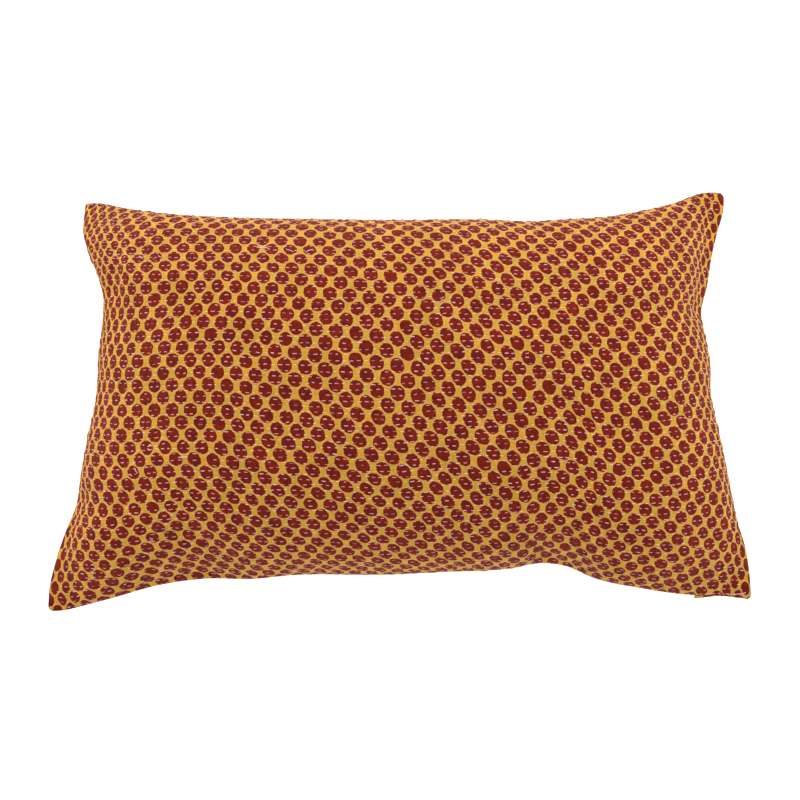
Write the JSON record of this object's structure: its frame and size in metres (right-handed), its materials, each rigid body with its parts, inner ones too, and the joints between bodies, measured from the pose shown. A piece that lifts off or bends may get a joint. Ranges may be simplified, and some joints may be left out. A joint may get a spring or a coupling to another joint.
{
  "type": "kantha cushion",
  "caption": "Filled lumbar cushion in layered cotton, dotted in print and sewn all over with running stitch, to lean on or rest an arm on.",
  "frame": {"origin": "on the floor under the middle of the cushion's outline, where its back rests", "axes": "+X across the face to its right, +Y up the face, +Z out of the face, away from the floor"},
  "size_m": [0.547, 0.3275, 0.1648],
  "materials": {
    "printed_cotton": "matt layered cotton, mustard ground with maroon dots",
    "folded_hem": "matt folded cotton of the same print",
    "kantha_thread": "matt off-white cotton thread"
  },
  "bodies": {
    "root": {"cushion": "printed_cotton", "closure_flap": "folded_hem"}
  },
  "joints": []
}
